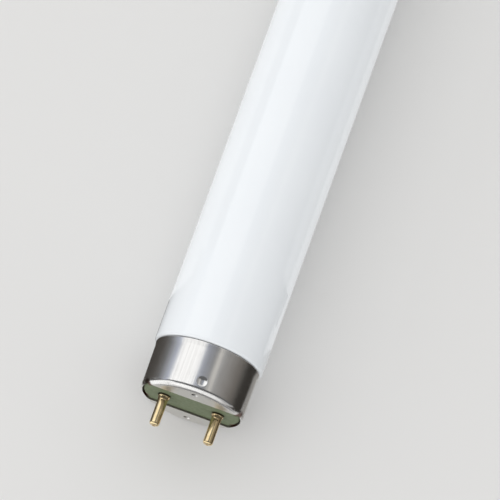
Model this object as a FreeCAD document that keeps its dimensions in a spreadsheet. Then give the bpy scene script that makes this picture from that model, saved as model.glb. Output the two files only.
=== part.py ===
import FreeCAD, Part
import math
import os
import Sketcher
from FreeCAD import Vector

# A straight fluorescent lamp of the 26 mm class, lying along X with its middle at the origin.
# The right end is modelled, and the left end is its mirror image.
# Contact pins lie side by side along Y, so +Z is up when the lamp sits level in its holders.

# Driving dimensions in millimetres
SIZES = {
    # Lamp and glass
    "face_to_face": 589.8,
    "tube_diameter": 25.4,
    "glass_wall": 0.6,
    "shoulder_radius": 0.8,
    "shoulder_gap": 0.1,
    "bead_radius": 0.5,
    "neck_clearance": 0.5,
    # Glass stem that carries the wires through the sealed end
    "flare_depth": 7.0,
    "stem_length": 22.0,
    "stem_bore": 7.6,
    "stem_wall": 1.0,
    "seal_depth": 1.1,
    "press_thickness": 3.0,
    # Aluminium cap
    "cap_step": 0.6,
    "cap_length": 11.8,
    "cap_wall": 0.45,
    "corner_radius": 1.5,
    "rim_flare": 0.15,
    "rim_flare_length": 1.3,
    "lip_radius": 0.12,
    "segment_height": 6.65,
    "slot_rim": 0.45,
    "slot_fillet": 2.0,
    # Punch marks that hold the plate: a dimple in each face and a dent in each side
    "dimple_inset": 3.0,
    "dimple_depth": 0.6,
    "dimple_radius": 0.8,
    "dent_depth": 0.3,
    "dent_radius": 2.75,
    "dent_shift": 0.6,
    "dent_clearance": 0.03,
    # Insulating plate and basing cement
    "plate_thickness": 1.2,
    "plate_clearance": 0.1,
    "dimple_clearance": 0.03,
    "cement_thickness": 0.4,
    # Contact pins
    "pin_spacing": 12.7,
    "pin_diameter": 2.35,
    "pin_projection": 7.1,
    "pin_clearance": 0.01,
    "pin_tip_radius": 0.65,
    "pin_tip_wall": 0.9,
    "pin_bore": 1.5,
    "collar_diameter": 3.0,
    "collar_thickness": 0.35,
    "collar_sweep_length": 1.2,
    "rivet_diameter": 3.3,
    "rivet_thickness": 0.4,
    # Lead-in wires
    "wire_diameter": 0.5,
    "wire_clearance": 0.08,
    "wire_recess": 0.2,
    "wire_spacing": 3.2,
    "wire_bend_radius": 2.0,
    "wire_crossing": 6.0,
}

# Places along the axis, radii and heights that follow from the driving dimensions
STATIONS = {
    "cap_face": "Sizes.face_to_face / 2",
    "tube_radius": "Sizes.tube_diameter / 2",
    # Cap
    "cap_radius": "tube_radius - Sizes.cap_step",
    "cap_inner": "cap_radius - Sizes.cap_wall",
    "rim": "cap_face - Sizes.cap_length",
    "flare_start": "rim + Sizes.rim_flare_length",
    "rim_radius": "cap_radius + Sizes.rim_flare",
    "rim_inner": "rim_radius - Sizes.cap_wall",
    "lip_end": "rim + Sizes.lip_radius",
    "lip_inner": "rim_radius - Sizes.lip_radius",
    "corner_start": "cap_face - Sizes.corner_radius",
    "face_edge": "cap_radius - Sizes.corner_radius",
    "corner_inner_radius": "Sizes.corner_radius - Sizes.cap_wall",
    "sheet_back": "cap_face - Sizes.cap_wall",
    "slot_half": "cap_radius - Sizes.segment_height",
    "slot_end_radius": "cap_radius - Sizes.slot_rim",
    "slot_corner": "sqrt(slot_end_radius ^ 2 - slot_half ^ 2)",
    "slot_depth": "2 * Sizes.corner_radius",
    # Plate
    "plate_back": "sheet_back - Sizes.plate_thickness",
    "plate_radius": "cap_inner - Sizes.plate_clearance",
    # Punch marks
    "dimple_height": "cap_radius - Sizes.dimple_inset",
    "dimple_centre": "cap_face - Sizes.dimple_depth + Sizes.dimple_radius",
    "dimple_back": "Sizes.dimple_radius + Sizes.cap_wall",
    "dimple_seat": "dimple_back + Sizes.dimple_clearance",
    "dent_height": "cap_radius - Sizes.dent_depth + Sizes.dent_radius",
    "dent_back": "Sizes.dent_radius + Sizes.cap_wall",
    "dent_reach": "sqrt(dent_back ^ 2 - (dent_height - plate_radius) ^ 2)",
    "dent_spread": "sqrt(dent_back ^ 2 - (dent_height - cap_inner) ^ 2)",
    "dent_centre": "plate_back - dent_reach - Sizes.dent_clearance",
    # Glass
    "tube_inner": "tube_radius - Sizes.glass_wall",
    "shoulder_face": "rim - Sizes.shoulder_gap",
    "shoulder_start": "shoulder_face - Sizes.shoulder_radius",
    "shoulder_side": "tube_radius - Sizes.shoulder_radius",
    "shoulder_back": "shoulder_face - Sizes.glass_wall",
    "neck_radius": "cap_inner - Sizes.cement_thickness",
    "neck_inner": "neck_radius - Sizes.glass_wall",
    "neck_end": "dent_centre - dent_spread - Sizes.neck_clearance",
    "bead_start": "neck_end - Sizes.bead_radius",
    "bead_top": "neck_radius - Sizes.bead_radius",
    "bead_inner": "neck_radius - 2 * Sizes.bead_radius",
    "seal_back": "bead_start - Sizes.seal_depth",
    "flare_bottom": "neck_end - Sizes.flare_depth",
    "flare_back": "flare_bottom - Sizes.stem_wall / 2",
    "stem_inner": "Sizes.stem_bore / 2",
    "stem_outer": "stem_inner + Sizes.stem_wall",
    "press_face": "neck_end - Sizes.stem_length",
    "press_back": "press_face - Sizes.press_thickness",
    # Pins, whose tips close in on the wires
    "wire_radius": "Sizes.wire_diameter / 2",
    "pin_side": "Sizes.pin_spacing / 2",
    "pin_radius": "Sizes.pin_diameter / 2",
    "pin_tip": "cap_face + Sizes.pin_projection",
    "tip_start": "pin_tip - Sizes.pin_tip_radius",
    "tip_land": "pin_radius - Sizes.pin_tip_radius",
    "pin_hole": "pin_radius + Sizes.pin_clearance",
    "bore_radius": "Sizes.pin_bore / 2",
    "bore_end": "pin_tip - Sizes.pin_tip_wall",
    "tip_bore": "wire_radius + Sizes.wire_clearance",
    "collar_radius": "Sizes.collar_diameter / 2",
    "collar_front": "sheet_back + Sizes.collar_thickness",
    "collar_end": "collar_front + Sizes.collar_sweep_length",
    "collar_rise": "collar_radius - pin_radius",
    "collar_sweep": "(Sizes.collar_sweep_length ^ 2 + collar_rise ^ 2) / (2 * collar_rise)",
    "collar_centre": "pin_radius + collar_sweep",
    "rivet_radius": "Sizes.rivet_diameter / 2",
    "rivet_back": "plate_back - Sizes.rivet_thickness",
    # Wires, which cross over at 45 degrees between the stem and the pin
    "wire_side": "Sizes.wire_spacing / 2",
    "wire_tip": "pin_tip - Sizes.wire_recess",
    "wire_shift": "pin_side - wire_side",
    "wire_middle": "plate_back - Sizes.wire_crossing",
    "wire_turn": "Sizes.wire_bend_radius * (sqrt(2) - 1)",
    "wire_rise": "wire_turn / sqrt(2)",
    "bend_in_start": "wire_middle - wire_shift / 2 - wire_turn",
    "bend_in_end": "wire_middle - wire_shift / 2 + wire_rise",
    "bend_in_side": "wire_side + wire_rise",
    "bend_in_centre": "wire_side + Sizes.wire_bend_radius",
    "bend_out_start": "wire_middle + wire_shift / 2 - wire_rise",
    "bend_out_end": "wire_middle + wire_shift / 2 + wire_turn",
    "bend_out_side": "pin_side - wire_rise",
    "bend_out_centre": "pin_side - Sizes.wire_bend_radius",
}

FULL_TURN = 360
ORIGIN = -1
ALONG_X = -1
ALONG_Y = -2
FIRST_POINT = 1
LAST_POINT = 2
CENTRE_POINT = 3

doc = FreeCAD.newDocument("FluorescentTube")


def fill_sheet(name, cells):
    """A spreadsheet with one alias for each named cell."""
    sheet = doc.addObject("Spreadsheet::Sheet", name)
    for row, (alias, content) in enumerate(cells.items(), start=1):
        sheet.set(f"A{row}", alias)
        sheet.set(f"B{row}", content)
        sheet.setAlias(f"B{row}", alias)
    doc.recompute()
    return sheet


sizes = fill_sheet("Sizes", {name: str(size) for name, size in SIZES.items()})
stations = fill_sheet("Stations", {name: "=" + rule for name, rule in STATIONS.items()})


def cell(name):
    """Where a named dimension is kept, as an expression writes it."""
    return f"Sizes.{name}" if name in SIZES else f"Stations.{name}"


def value(name):
    """The number behind a name, with None for a place on an axis."""
    if name is None:
        return 0.0
    return getattr(sizes if name in SIZES else stations, name)


def new_sketch(body, role, name, station=None):
    """A sketch on one of the body's origin planes, moved along its normal to a station."""
    plane = next(item for item in body.Origin.OriginFeatures if item.Role == role)
    sketch = body.newObject("Sketcher::SketchObject", name)
    sketch.AttachmentSupport = (plane, [""])
    sketch.MapMode = "FlatFace"
    if station:
        sketch.setExpression("AttachmentOffset.Base.z", cell(station))
    return sketch


def bind(sketch, kind, geometry, name):
    """Adds a dimension to the sketch and ties it to its cell."""
    index = sketch.addConstraint(Sketcher.Constraint(kind, *geometry, value(name)))
    sketch.setExpression(f"Constraints[{index}]", cell(name))


def pin_down(sketch, curve, end, across, up):
    """Fixes one point of a curve by its two coordinates."""
    for kind, axis, name in (("DistanceX", ALONG_Y, across), ("DistanceY", ALONG_X, up)):
        if name is None:
            sketch.addConstraint(Sketcher.Constraint("PointOnObject", curve, end, axis))
        else:
            bind(sketch, kind, (ORIGIN, FIRST_POINT, curve, end), name)


def draw_path(sketch, points, closed=True):
    """Joins named points by lines. A third entry makes that step an arc, as centre and radius names."""
    places = [Vector(value(point[0]), value(point[1]), 0) for point in points]
    steps = len(points) if closed else len(points) - 1
    ends = []
    for step in range(steps):
        target = (step + 1) % len(points)
        start, finish = places[step], places[target]
        if len(points[target]) == 2:
            curve = sketch.addGeometry(Part.LineSegment(start, finish))
            ends.append((curve, FIRST_POINT, LAST_POINT))
            continue
        centre_across, centre_up, radius = points[target][2]
        centre = Vector(value(centre_across), value(centre_up), 0)
        turns_left = (start - centre).cross(finish - centre).z > 0
        low, high = (start, finish) if turns_left else (finish, start)
        angles = [math.atan2(place.y - centre.y, place.x - centre.x) for place in (low, high)]
        circle = Part.Circle(centre, Vector(0, 0, 1), value(radius))
        curve = sketch.addGeometry(Part.ArcOfCircle(circle, *angles))
        bind(sketch, "Radius", (curve,), radius)
        ends.append((curve, FIRST_POINT, LAST_POINT) if turns_left else (curve, LAST_POINT, FIRST_POINT))
    for step, (curve, first, last) in enumerate(ends):
        pin_down(sketch, curve, first, *points[step][:2])
        if closed or step + 1 < len(ends):
            following, begin, _ = ends[(step + 1) % len(ends)]
            sketch.addConstraint(Sketcher.Constraint("Coincident", curve, last, following, begin))
    if not closed:
        pin_down(sketch, ends[-1][0], ends[-1][2], *points[-1][:2])


def draw_circle(sketch, radius, across=None, mirrored=False):
    """A circle across from the middle by a named distance, to the other side when mirrored."""
    side = -1 if mirrored else 1
    centre = Vector(side * value(across), 0, 0)
    curve = sketch.addGeometry(Part.Circle(centre, Vector(0, 0, 1), value(radius)))
    bind(sketch, "Radius", (curve,), radius)
    if mirrored:
        bind(sketch, "DistanceX", (curve, CENTRE_POINT, ORIGIN, FIRST_POINT), across)
        sketch.addConstraint(Sketcher.Constraint("PointOnObject", curve, CENTRE_POINT, ALONG_X))
    else:
        pin_down(sketch, curve, CENTRE_POINT, across, None)


def turn(body, name, points, kind="PartDesign::Revolution"):
    """Revolves a half section about the lamp's axis, or cuts with it as a groove."""
    sketch = new_sketch(body, "XY_Plane", f"{name}_section")
    draw_path(sketch, points)
    feature = body.newObject(kind, name)
    feature.Profile = (sketch, [""])
    feature.ReferenceAxis = (sketch, ["H_Axis"])
    feature.Angle = FULL_TURN
    doc.recompute()
    return feature


def punch_ball(body, name, radius, along, height, above, shift=None):
    """Takes a ball out of the body above or below the axis, shifted sideways where a shift is named."""
    ball = body.newObject("PartDesign::SubtractiveSphere", name)
    ball.setExpression("Radius", cell(radius))
    ball.setExpression("Placement.Base.x", cell(along))
    ball.setExpression("Placement.Base.z", cell(height) if above else f"-{cell(height)}")
    if shift:
        ball.setExpression("Placement.Base.y", cell(shift))
    doc.recompute()


def mirror(source, label, normal):
    """The mirror image of a piece in the plane through the origin with that normal."""
    image = doc.addObject("Part::Mirroring", label)
    image.Label = label
    image.Source = source
    image.Base = Vector(0, 0, 0)
    image.Normal = normal
    return image


def new_body(label):
    """An empty body with that label."""
    body = doc.addObject("PartDesign::Body", label)
    body.Label = label
    return body


def make_glass():
    """Sealed glass: a necked tube with a stem drawn into each end, hollow and closed."""
    body = new_body("glass_tube")
    blank = turn(body, "glass_blank", [
        (None, None),
        (None, "tube_radius"),
        ("shoulder_start", "tube_radius"),
        ("shoulder_face", "shoulder_side", ("shoulder_start", "shoulder_side", "shoulder_radius")),
        ("shoulder_face", "neck_radius"),
        ("bead_start", "neck_radius"),
        ("neck_end", "bead_top", ("bead_start", "bead_top", "bead_radius")),
        ("bead_start", "bead_inner", ("bead_start", "bead_top", "bead_radius")),
        ("flare_bottom", "stem_inner"),
        ("press_face", "stem_inner"),
        ("press_face", None),
    ])
    cavity = turn(body, "glass_cavity", [
        (None, None),
        (None, "tube_inner"),
        ("shoulder_back", "tube_inner"),
        ("shoulder_back", "neck_inner"),
        ("seal_back", "neck_inner"),
        ("flare_back", "stem_outer"),
        ("press_back", "stem_outer"),
        ("press_back", None),
    ], "PartDesign::Groove")
    plane = next(item for item in body.Origin.OriginFeatures if item.Role == "YZ_Plane")
    whole = body.newObject("PartDesign::Mirrored", "glass_both_ends")
    whole.Originals = [blank, cavity]
    whole.MirrorPlane = (plane, [""])
    body.Tip = whole
    return body


def make_cap():
    """Drawn aluminium cup: its outer form, less a hollow that follows it one sheet further in."""
    form = new_body("cap_form")
    turn(form, "cap_outside", [
        ("rim", None),
        ("rim", "lip_inner"),
        ("lip_end", "rim_radius", ("lip_end", "lip_inner", "lip_radius")),
        ("flare_start", "cap_radius"),
        ("corner_start", "cap_radius"),
        ("cap_face", "face_edge", ("corner_start", "face_edge", "corner_radius")),
        ("cap_face", None),
    ])
    hollow = new_body("cap_hollow")
    turn(hollow, "cap_inside", [
        ("shoulder_back", None),
        ("shoulder_back", "rim_inner"),
        ("rim", "rim_inner"),
        ("flare_start", "cap_inner"),
        ("corner_start", "cap_inner"),
        ("sheet_back", "face_edge", ("corner_start", "face_edge", "corner_inner_radius")),
        ("sheet_back", None),
    ])
    for above in (True, False):
        side = "top" if above else "bottom"
        dimple = ("dimple_centre", "dimple_height", above)
        dent = ("dent_centre", "dent_height", above, "dent_shift")
        punch_ball(form, f"dimple_{side}", "dimple_radius", *dimple)
        punch_ball(form, f"dent_{side}", "dent_radius", *dent)
        punch_ball(hollow, f"dimple_back_{side}", "dimple_back", *dimple)
        punch_ball(hollow, f"dent_back_{side}", "dent_back", *dent)
    cup = cut("cap_cup", form, hollow)
    return cut("right_cap", cup, make_slot())


def cut(label, base, tool):
    """One piece less another."""
    result = doc.addObject("Part::Cut", label)
    result.Label = label
    result.Base = base
    result.Tool = tool
    doc.recompute()
    return result


def make_slot():
    """The slot through the end sheet: straight sides, round ends and rounded corners."""
    body = new_body("cap_slot")
    sketch = new_sketch(body, "YZ_Plane", "slot_outline", "corner_start")
    half, reach, radius = value("slot_half"), value("slot_corner"), value("slot_end_radius")
    angle = math.atan2(half, reach)
    circle = Part.Circle(Vector(0, 0, 0), Vector(0, 0, 1), radius)
    right = sketch.addGeometry(Part.ArcOfCircle(circle, -angle, angle))
    left = sketch.addGeometry(Part.ArcOfCircle(circle, math.pi - angle, math.pi + angle))
    upper = sketch.addGeometry(Part.LineSegment(Vector(reach, half, 0), Vector(-reach, half, 0)))
    lower = sketch.addGeometry(Part.LineSegment(Vector(-reach, -half, 0), Vector(reach, -half, 0)))
    for first, second in ((right, upper), (upper, left), (left, lower), (lower, right)):
        joint = Sketcher.Constraint("Coincident", first, LAST_POINT, second, FIRST_POINT)
        sketch.addConstraint(joint)
    for arc in (right, left):
        centred = Sketcher.Constraint("Coincident", arc, CENTRE_POINT, ORIGIN, FIRST_POINT)
        sketch.addConstraint(centred)
    for line in (upper, lower):
        sketch.addConstraint(Sketcher.Constraint("Horizontal", line))
    bind(sketch, "Radius", (right,), "slot_end_radius")
    bind(sketch, "DistanceY", (ORIGIN, FIRST_POINT, upper, FIRST_POINT), "slot_half")
    bind(sketch, "DistanceY", (lower, FIRST_POINT, ORIGIN, FIRST_POINT), "slot_half")
    slot = body.newObject("PartDesign::Pad", "slot")
    slot.Profile = (sketch, [""])
    slot.setExpression("Length", cell("slot_depth"))
    doc.recompute()
    corners = []
    for number, edge in enumerate(slot.Shape.Edges, start=1):
        if math.isclose(edge.BoundBox.XLength, value("slot_depth"), abs_tol=1e-6):
            corners.append(f"Edge{number}")
    rounding = body.newObject("PartDesign::Fillet", "slot_corners")
    rounding.Base = (slot, corners)
    rounding.setExpression("Radius", cell("slot_fillet"))
    doc.recompute()
    return body


def make_plate():
    """Round insulating plate with pin holes, dimple seats and a front edge that is rounded to fit the cap."""
    body = new_body("right_plate")
    sketch = new_sketch(body, "YZ_Plane", "plate_outline", "plate_back")
    draw_circle(sketch, "plate_radius")
    draw_circle(sketch, "pin_hole", "pin_side")
    draw_circle(sketch, "pin_hole", "pin_side", mirrored=True)
    disc = body.newObject("PartDesign::Pad", "plate_disc")
    disc.Profile = (sketch, [""])
    disc.setExpression("Length", cell("plate_thickness"))
    doc.recompute()
    front = value("sheet_back")
    rim = value("plate_radius")
    for number, edge in enumerate(disc.Shape.Edges, start=1):
        box = edge.BoundBox
        if math.isclose(box.XMin, front, abs_tol=1e-6) and math.isclose(box.YMax, rim, abs_tol=1e-6):
            front_edge = f"Edge{number}"
    rounding = body.newObject("PartDesign::Fillet", "plate_rounding")
    rounding.Base = (disc, [front_edge])
    rounding.setExpression("Radius", cell("corner_inner_radius"))
    doc.recompute()
    for above in (True, False):
        side = "top" if above else "bottom"
        punch_ball(body, f"dimple_seat_{side}", "dimple_seat", "dimple_centre", "dimple_height", above)
    return body


def make_cement():
    """Ring of basing cement between the glass neck and the cap."""
    body = new_body("right_cement")
    turn(body, "cement_ring", [
        ("flare_start", "neck_radius"),
        ("flare_start", "cap_inner"),
        ("bead_start", "cap_inner"),
        ("bead_start", "neck_radius"),
    ])
    return body


def make_pin():
    """Hollow contact pin: a swept collar in front of the plate, a riveted end behind it and a domed tip."""
    body = new_body("right_pin_rear")
    turn(body, "pin_turning", [
        ("rivet_back", "bore_radius"),
        ("rivet_back", "rivet_radius"),
        ("plate_back", "rivet_radius"),
        ("plate_back", "pin_radius"),
        ("sheet_back", "pin_radius"),
        ("sheet_back", "collar_radius"),
        ("collar_front", "collar_radius"),
        ("collar_end", "pin_radius", ("collar_end", "collar_centre", "collar_sweep")),
        ("tip_start", "pin_radius"),
        ("pin_tip", "tip_land", ("tip_start", "tip_land", "pin_tip_radius")),
        ("pin_tip", "tip_bore"),
        ("bore_end", "tip_bore"),
        ("bore_end", "bore_radius"),
    ])
    body.setExpression("Placement.Base.y", cell("pin_side"))
    return body


def make_wire():
    """Lead-in wire from the stem's press, across to its pin and along the bore to the tip."""
    body = new_body("right_wire_rear")
    route = new_sketch(body, "XY_Plane", "wire_route")
    draw_path(route, [
        ("press_face", "wire_side"),
        ("bend_in_start", "wire_side"),
        ("bend_in_end", "bend_in_side", ("bend_in_start", "bend_in_centre", "wire_bend_radius")),
        ("bend_out_start", "bend_out_side"),
        ("bend_out_end", "pin_side", ("bend_out_end", "bend_out_centre", "wire_bend_radius")),
        ("wire_tip", "pin_side"),
    ], closed=False)
    section = new_sketch(body, "YZ_Plane", "wire_section", "press_face")
    draw_circle(section, "wire_radius", "wire_side")
    doc.recompute()
    wire = body.newObject("PartDesign::AdditivePipe", "wire")
    wire.Profile = (section, [""])
    wire.Spine = (route, [])
    doc.recompute()
    return body


def check(piece):
    """Stops the build if a piece failed, is empty, is not valid or is more than one solid."""
    shape = piece.Shape
    if shape.isNull() or not shape.isValid() or len(shape.Solids) != 1 or shape.Volume <= 0:
        raise RuntimeError(f"{piece.Label} is not one valid solid")


def main():
    """Builds every piece, checks the document and writes the pieces."""
    glass = make_glass()
    pin = make_pin()
    wire = make_wire()
    right = {
        "cap": make_cap(),
        "plate": make_plate(),
        "cement": make_cement(),
        "pin_rear": pin,
        "pin_front": mirror(pin, "right_pin_front", Vector(0, 1, 0)),
        "wire_rear": wire,
        "wire_front": mirror(wire, "right_wire_front", Vector(0, 1, 0)),
    }
    left = [mirror(piece, f"left_{name}", Vector(1, 0, 0)) for name, piece in right.items()]
    doc.recompute()
    for item in doc.Objects:
        if "Invalid" in item.State or "Error" in item.State:
            raise RuntimeError(f"{item.Label} failed: {item.State}")
    pieces = [glass, *right.values(), *left]
    for piece in pieces:
        check(piece)
    os.makedirs("parts", exist_ok=True)
    for piece in pieces:
        piece.Shape.exportStep(f"parts/{piece.Label}.step")
        print(f"{piece.Label}: {piece.Shape.Volume:.2f} cubic millimetres")


main()
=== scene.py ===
"""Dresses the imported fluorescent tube: its white glass, drawn metal caps, board plates and brass pins.

The lamp lies along X with its middle at the origin. The right end is modelled once, and the left end is
a copy of it turned half round. Radii are measured from the lamp's axis, and every length is in metres.
"""

import logging
import math
from collections.abc import Callable, Iterator
from contextlib import contextmanager
from dataclasses import dataclass, field
from enum import Enum
from itertools import pairwise

import bmesh
import bpy
from mathutils import Matrix, Vector


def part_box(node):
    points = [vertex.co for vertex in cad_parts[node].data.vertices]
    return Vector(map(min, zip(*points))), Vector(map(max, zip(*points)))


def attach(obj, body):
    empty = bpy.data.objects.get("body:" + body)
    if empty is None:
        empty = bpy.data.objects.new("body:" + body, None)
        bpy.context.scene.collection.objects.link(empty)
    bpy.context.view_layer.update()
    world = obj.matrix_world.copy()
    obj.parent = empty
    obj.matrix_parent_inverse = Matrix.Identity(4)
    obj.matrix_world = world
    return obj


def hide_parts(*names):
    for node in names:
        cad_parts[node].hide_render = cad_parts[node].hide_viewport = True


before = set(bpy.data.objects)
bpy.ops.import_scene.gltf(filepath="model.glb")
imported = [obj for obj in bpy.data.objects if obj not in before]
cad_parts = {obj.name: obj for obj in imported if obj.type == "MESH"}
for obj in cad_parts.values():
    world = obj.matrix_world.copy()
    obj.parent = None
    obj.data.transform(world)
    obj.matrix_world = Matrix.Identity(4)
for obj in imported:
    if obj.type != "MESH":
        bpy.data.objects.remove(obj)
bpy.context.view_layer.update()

Colour = tuple[float, float, float]
Place = Vector | tuple[float, float, float]
Outline = list[Vector]
Piece = bpy.types.Object
Socket = bpy.types.NodeSocket
Sockets = bpy.types.bpy_prop_collection

MM = 0.001
MICRON = 0.001 * MM
FULL_TURN = 2.0 * math.pi
LAMP_AXIS = (1.0, 0.0, 0.0)
ACROSS = (0.0, 1.0, 0.0)
UPWARDS = (0.0, 0.0, 1.0)
ORIGIN = (0.0, 0.0, 0.0)
BOTH_SIDES = (1.0, -1.0)
EDGE_SEGMENTS = 3
# dark red-brown laid round the slot corners, where the plate meets the cap wall
CORNER_BROWN: Colour = (0.10, 0.035, 0.02)
CORNER_FINENESS = 900.0
LOG = logging.getLogger("fluorescent_tube")


# Modelling by hand


def take_up(piece: Piece) -> None:
    """Makes one piece the only selected and active one.

    Args:
        piece: The piece.
    """
    bpy.ops.object.select_all(action="DESELECT")
    piece.select_set(True)
    bpy.context.view_layer.objects.active = piece


def name_new(name: str) -> Piece:
    """Names the piece that an operator has just added, and returns it.

    Args:
        name: The new piece's name.

    Returns:
        The new piece.
    """
    piece = bpy.context.active_object
    piece.name = name
    piece.data.name = name
    return piece


def add_new(name: str, operator: Callable[..., set], **settings: object) -> Piece:
    """Adds a piece while nothing else is selected.

    Args:
        name: The new piece's name.
        operator: The operator that adds it.
        settings: What the operator is told.

    Returns:
        The new piece.
    """
    bpy.ops.object.select_all(action="DESELECT")
    operator(**settings)
    return name_new(name)


def settle(piece: Piece) -> None:
    """Puts a piece's place, turn and scale into its mesh, so that its object sits at the origin."""
    take_up(piece)
    bpy.ops.object.transform_apply(location=True, rotation=True, scale=True)


@contextmanager
def editing(piece: Piece, mode: str) -> Iterator[None]:
    """Opens a piece in edit mode with nothing selected.

    Args:
        piece: The piece to edit.
        mode: What is selected there: VERT, EDGE or FACE.
    """
    take_up(piece)
    bpy.ops.object.mode_set(mode="EDIT")
    bpy.ops.mesh.select_mode(type=mode)
    bpy.ops.mesh.select_all(action="DESELECT")
    yield
    bpy.ops.object.mode_set(mode="OBJECT")


def pick_faces(piece: Piece, wanted: Callable[[Vector], bool]) -> None:
    """Selects the faces whose middle passes a test.

    Args:
        piece: The piece in edit mode.
        wanted: Tells from a face's middle whether it is selected.
    """
    shape = bmesh.from_edit_mesh(piece.data)
    for face in shape.faces:
        face.select_set(wanted(face.calc_center_median()))
    bmesh.update_edit_mesh(piece.data)


def pick_sharp_edges(piece: Piece, angle: float, wanted: Callable[[Vector], bool]) -> None:
    """Selects the sharp edges whose middle passes a test.

    Args:
        piece: The piece in edit mode.
        angle: The least angle between an edge's two faces, in degrees.
        wanted: Tells from an edge's middle whether it is selected.
    """
    least = math.radians(angle)
    shape = bmesh.from_edit_mesh(piece.data)
    for edge in shape.edges:
        middle = (edge.verts[0].co + edge.verts[1].co) / 2.0
        edge.select_set(edge.is_manifold and edge.calc_face_angle() > least and wanted(middle))
    bmesh.update_edit_mesh(piece.data)


def pick_nearest_vertex(piece: Piece, place: Vector) -> None:
    """Selects the vertex that lies nearest to a place.

    Args:
        piece: The piece in edit mode.
        place: The place.
    """
    shape = bmesh.from_edit_mesh(piece.data)
    nearest = min(shape.verts, key=lambda vertex: (vertex.co - place).length_squared)
    nearest.select_set(True)
    bmesh.update_edit_mesh(piece.data)


def radius_of(place: Vector) -> float:
    """The distance of a place from the lamp's axis."""
    return math.hypot(place.y, place.z)


def spread(start: float, end: float, steps: int) -> list[float]:
    """Evenly spaced values from start to end, with both ends in the list."""
    return [start + (end - start) * step / steps for step in range(steps + 1)]


def line(start: tuple[float, float], end: tuple[float, float], steps: int = 1) -> Outline:
    """Points along a straight stretch of a half section, each given as place along the axis and radius.

    Args:
        start: The first point.
        end: The last point.
        steps: How many equal steps lie between them.

    Returns:
        The points, in the plane through the axis.
    """
    along, radii = spread(start[0], end[0], steps), spread(start[1], end[1], steps)
    return [Vector((place, 0.0, radius)) for place, radius in zip(along, radii, strict=True)]


def arc(centre: tuple[float, float], radius: float, start: float, end: float, steps: int) -> Outline:
    """Points along a round stretch of a half section.

    Args:
        centre: The arc's centre, as place along the axis and radius.
        radius: The arc's own radius.
        start: The angle of the first point, in degrees from the axis.
        end: The angle of the last point.
        steps: How many equal steps lie between them.

    Returns:
        The points, in the plane through the axis.
    """
    angles = [math.radians(angle) for angle in spread(start, end, steps)]
    return [Vector((centre[0] + radius * math.cos(angle), 0.0, centre[1] + radius * math.sin(angle)))
            for angle in angles]


def mirrored(outline: Outline) -> Outline:
    """The same outline on the other side of the middle, in the opposite order."""
    return [Vector((-point.x, point.y, point.z)) for point in reversed(outline)]


def draw(name: str, outline: Outline) -> Piece:
    """Draws a chain of edges, point by point.

    Args:
        name: The new piece's name.
        outline: The chain's points in order.

    Returns:
        The chain, with its place in its mesh.
    """
    piece = add_new(name, bpy.ops.mesh.primitive_plane_add, size=MM, location=outline[0])
    with editing(piece, "VERT"):
        bpy.ops.mesh.select_all(action="SELECT")
        bpy.ops.mesh.merge(type="CENTER")
        for here, there in pairwise(outline):
            bpy.ops.mesh.extrude_region_move(TRANSFORM_OT_translate={"value": there - here})
    settle(piece)
    return piece


def lathe(name: str, outline: Outline, steps: int, inwards: bool = False) -> Piece:
    """Turns a half section about the lamp's axis.

    Args:
        name: The new piece's name.
        outline: The section's points in order.
        steps: How many steps the full turn has.
        inwards: Whether the faces point inwards, as they do in a hollow.

    Returns:
        The turned piece, with its place in its mesh.
    """
    piece = draw(name, outline)
    with editing(piece, "VERT"):
        bpy.ops.mesh.select_all(action="SELECT")
        bpy.ops.mesh.spin(steps=steps, angle=FULL_TURN, center=ORIGIN, axis=LAMP_AXIS)
        bpy.ops.mesh.select_all(action="SELECT")
        bpy.ops.mesh.remove_doubles(threshold=MICRON)
        bpy.ops.mesh.normals_make_consistent(inside=inwards)
    return piece


class Punch(Enum):
    """How a punched mark falls off from its middle."""

    STEEP = "SPHERE"
    ROUND = "INVERSE_SQUARE"


def press_in(piece: Piece, place: Vector, push: Vector, reach: float, form: Punch) -> None:
    """Presses a round mark into one side of a sheet, deepest at its middle, as a ball punch does.

    Args:
        piece: The sheet.
        place: The middle of the mark on that side.
        push: How far and which way the middle moves.
        reach: The mark's radius.
        form: How the mark falls off.
    """
    with editing(piece, "VERT"):
        pick_nearest_vertex(piece, place)
        bpy.ops.transform.translate(
            value=push,
            use_proportional_edit=True,
            use_proportional_connected=True,
            proportional_edit_falloff=form.value,
            proportional_size=reach,
        )


def ease_edges(
    piece: Piece, angle: float, width: float, wanted: Callable[[Vector], bool] = lambda middle: True
) -> None:
    """Rounds a piece's sharp edges.

    Args:
        piece: The piece.
        angle: The least angle of a sharp edge, in degrees.
        width: The width of the rounding.
        wanted: Tells from an edge's middle whether it is rounded.
    """
    with editing(piece, "EDGE"):
        pick_sharp_edges(piece, angle, wanted)
        bpy.ops.mesh.bevel(offset=width, segments=EDGE_SEGMENTS, affect="EDGES", clamp_overlap=True)


def smooth(piece: Piece, angle: float = 35.0) -> None:
    """Shades a piece smooth, with edges above that angle in degrees left crisp."""
    take_up(piece)
    bpy.ops.object.shade_smooth_by_angle(angle=math.radians(angle))


def cut_away(piece: Piece, cutter: Piece) -> None:
    """Takes one shape out of a piece, and removes the shape.

    Args:
        piece: The piece to cut.
        cutter: The shape that is taken out.
    """
    take_up(piece)
    cut = piece.modifiers.new("cut", "BOOLEAN")
    cut.operation = "DIFFERENCE"
    cut.solver = "EXACT"
    cut.object = cutter
    bpy.ops.object.modifier_apply(modifier=cut.name)
    bpy.data.objects.remove(cutter)


def copy_of(piece: Piece, name: str) -> Piece:
    """A copy of a piece with its own mesh, selected and active.

    Args:
        piece: The piece to copy.
        name: The copy's name.

    Returns:
        The copy.
    """
    take_up(piece)
    bpy.ops.object.duplicate(linked=False)
    return name_new(name)


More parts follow.
